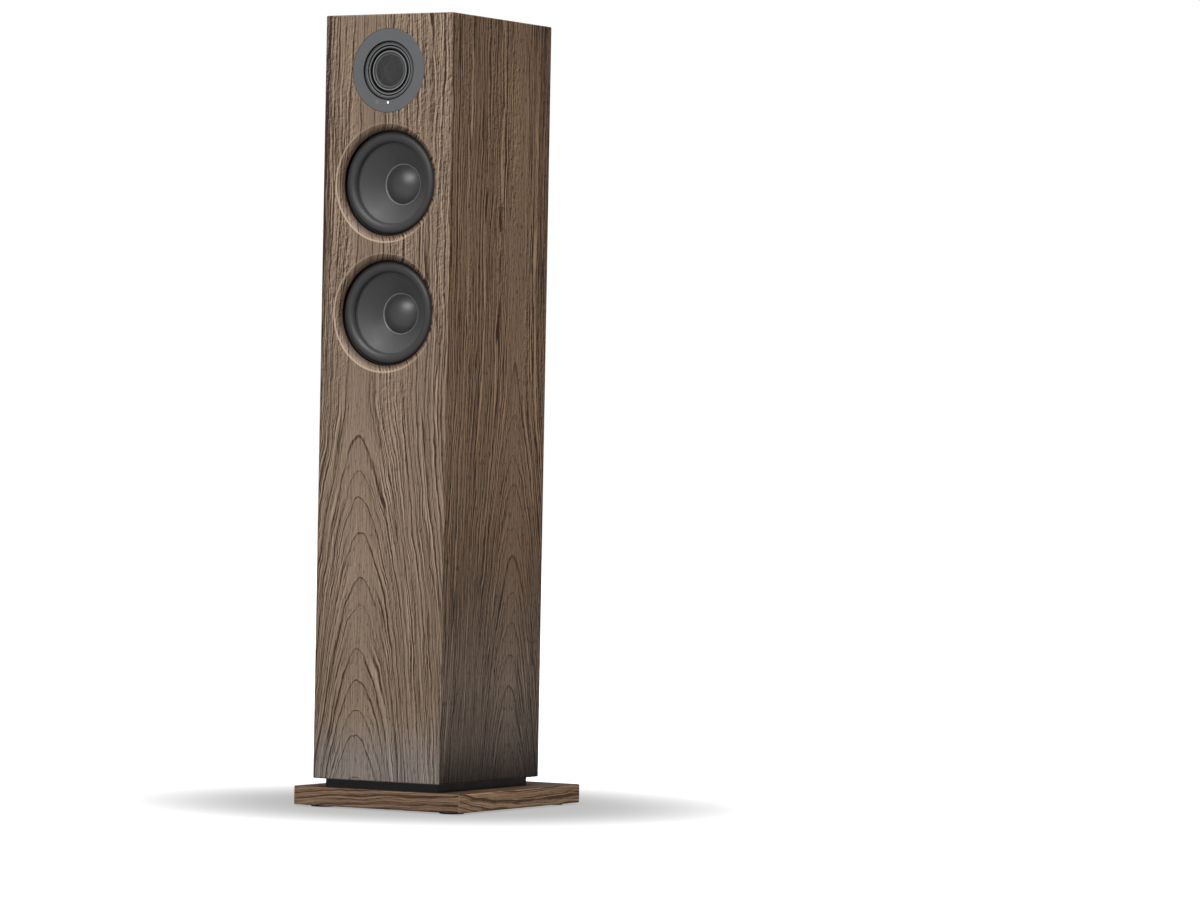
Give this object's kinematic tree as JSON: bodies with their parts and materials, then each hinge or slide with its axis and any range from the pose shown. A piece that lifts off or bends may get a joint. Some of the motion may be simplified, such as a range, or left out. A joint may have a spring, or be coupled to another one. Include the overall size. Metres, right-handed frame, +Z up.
{
  "type": "floorstanding speaker",
  "caption": "Slim veneered floorstanding active speaker with a flush round tweeter over recessed bass-mid drivers, on a black spacer and a wide base plate.",
  "frame": {"origin": "on the floor, under the middle of the object's bounding box", "axes": "+X to the right of somebody facing the front, +Y from the front to the back, +Z up"},
  "size_m": [0.217, 0.263, 0.8825],
  "materials": {
    "veneer": "open-pore oiled veneer, grain upright",
    "base_veneer": "open-pore oiled veneer, grain across",
    "bare_board": "bare fibreboard",
    "black_lacquer": "matt black lacquer",
    "foot_rubber": "matt",
    "plated_steel": "zinc plated",
    "black_steel": "black oxide",
    "basket_black": "satin black powder coat",
    "surround_rubber": "satin",
    "cone_grey": "satin coated paper",
    "cap_grey": "satin",
    "spider_cloth": "resin-dipped weave",
    "coil_copper": "enamelled copper on a former",
    "ferrite": "matt ceramic",
    "terminal_brass": "tinned lugs on an insulating tag",
    "face_grey": "satin grey",
    "mesh_grey": "matt, perforated",
    "dome_silk": "coated silk",
    "chassis_plastic": "matt",
    "led_warm": "lit light pipe",
    "window_smoke": "smoked",
    "board_green": "solder mask",
    "port_black": "fine textured",
    "plate_black": "black anodised",
    "housing_black": "moulded",
    "connector_black": "moulded",
    "rocker_black": "gloss",
    "jack_gold": "gold plated",
    "shell_nickel": "nickel plated",
    "stud_brass": "gold plated",
    "cap_red": "moulded",
    "cap_black": "moulded",
    "cable_black": "sleeved"
  },
  "bodies": {
    "cabinet": {"front_baffle": "veneer", "left_side_panel": "veneer", "right_side_panel": "veneer", "top_panel": "veneer", "bottom_panel": "veneer", "rear_panel": "veneer", "base_plate": "base_veneer", "upper_brace": "bare_board", "lower_brace": "bare_board", "spacer_block": "black_lacquer", "rubber_feet": "foot_rubber", "base_bolts": "plated_steel", "woofer_top_plates": "plated_steel", "woofer_yoke_upper": "plated_steel", "woofer_yoke_lower": "plated_steel", "tweeter_top_plate": "plated_steel", "tweeter_yoke": "plated_steel", "driver_screws": "black_steel", "rear_screws": "black_steel", "woofer_basket_upper": "basket_black", "woofer_basket_lower": "basket_black", "woofer_surround_upper": "surround_rubber", "woofer_surround_lower": "surround_rubber", "woofer_gaskets": "surround_rubber", "woofer_spider_upper": "spider_cloth", "woofer_spider_lower": "spider_cloth", "woofer_magnet_upper": "ferrite", "woofer_magnet_lower": "ferrite", "tweeter_magnet": "ferrite", "woofer_terminals": "terminal_brass", "tweeter_faceplate": "face_grey", "tweeter_mesh": "mesh_grey", "tweeter_surround": "dome_silk", "tweeter_chassis": "chassis_plastic", "status_led": "led_warm", "infrared_window": "window_smoke", "indicator_board": "board_green", "amplifier_board": "board_green", "power_supply_board": "board_green", "port_tube": "port_black", "amplifier_plate": "plate_black", "electronics_housing": "housing_black", "power_inlet": "connector_black", "power_switch_body": "connector_black", "line_jacks": "jack_gold", "digital_port": "shell_nickel", "binding_post_studs": "stud_brass", "internal_wiring": "cable_black"},
    "upper_cone": {"woofer_cone_upper": "cone_grey", "woofer_dust_cap_upper": "cap_grey", "woofer_voice_coil_upper": "coil_copper"},
    "lower_cone": {"woofer_cone_lower": "cone_grey", "woofer_dust_cap_lower": "cap_grey", "woofer_voice_coil_lower": "coil_copper"},
    "tweeter_diaphragm": {"tweeter_dome": "dome_silk", "tweeter_voice_coil": "coil_copper"},
    "rocker": {"power_rocker": "rocker_black"},
    "button": {"pairing_button": "rocker_black"},
    "red_cap": {"binding_cap_red": "cap_red"},
    "black_cap": {"binding_cap_black": "cap_black"}
  },
  "joints": [
    {"name": "upper_cone_travel", "type": "slide", "parent": "cabinet", "child": "upper_cone", "axis": [0, -1, 0], "range_m": [-0.005, 0.005], "stiffness_N_per_m": 1200, "deforming": ["woofer_surround_upper", "woofer_spider_upper"]},
    {"name": "lower_cone_travel", "type": "slide", "parent": "cabinet", "child": "lower_cone", "axis": [0, -1, 0], "range_m": [-0.005, 0.005], "stiffness_N_per_m": 1200, "deforming": ["woofer_surround_lower", "woofer_spider_lower"]},
    {"name": "tweeter_dome_travel", "type": "slide", "parent": "cabinet", "child": "tweeter_diaphragm", "axis": [0, -1, 0], "range_m": [-0.0003, 0.0003], "stiffness_N_per_m": 600, "deforming": ["tweeter_surround"]},
    {"name": "power_rocker_tilt", "type": "hinge", "parent": "cabinet", "child": "rocker", "pos_m": [0.027, 0.0775, 0.112], "axis": [1, 0, 0], "range_deg": [-16, 0]},
    {"name": "pairing_button_press", "type": "slide", "parent": "cabinet", "child": "button", "axis": [0, -1, 0], "range_m": [0, 0.001], "stiffness_N_per_m": 300},
    {"name": "red_cap_turn", "type": "hinge", "parent": "cabinet", "child": "red_cap", "pos_m": [0.0095, 0.0945, 0.212], "axis": [0, 1, 0], "range_deg": [0, 1080]},
    {"name": "black_cap_turn", "type": "hinge", "parent": "cabinet", "child": "black_cap", "pos_m": [-0.0095, 0.0945, 0.212], "axis": [0, 1, 0], "range_deg": [0, 1080]}
  ]
}
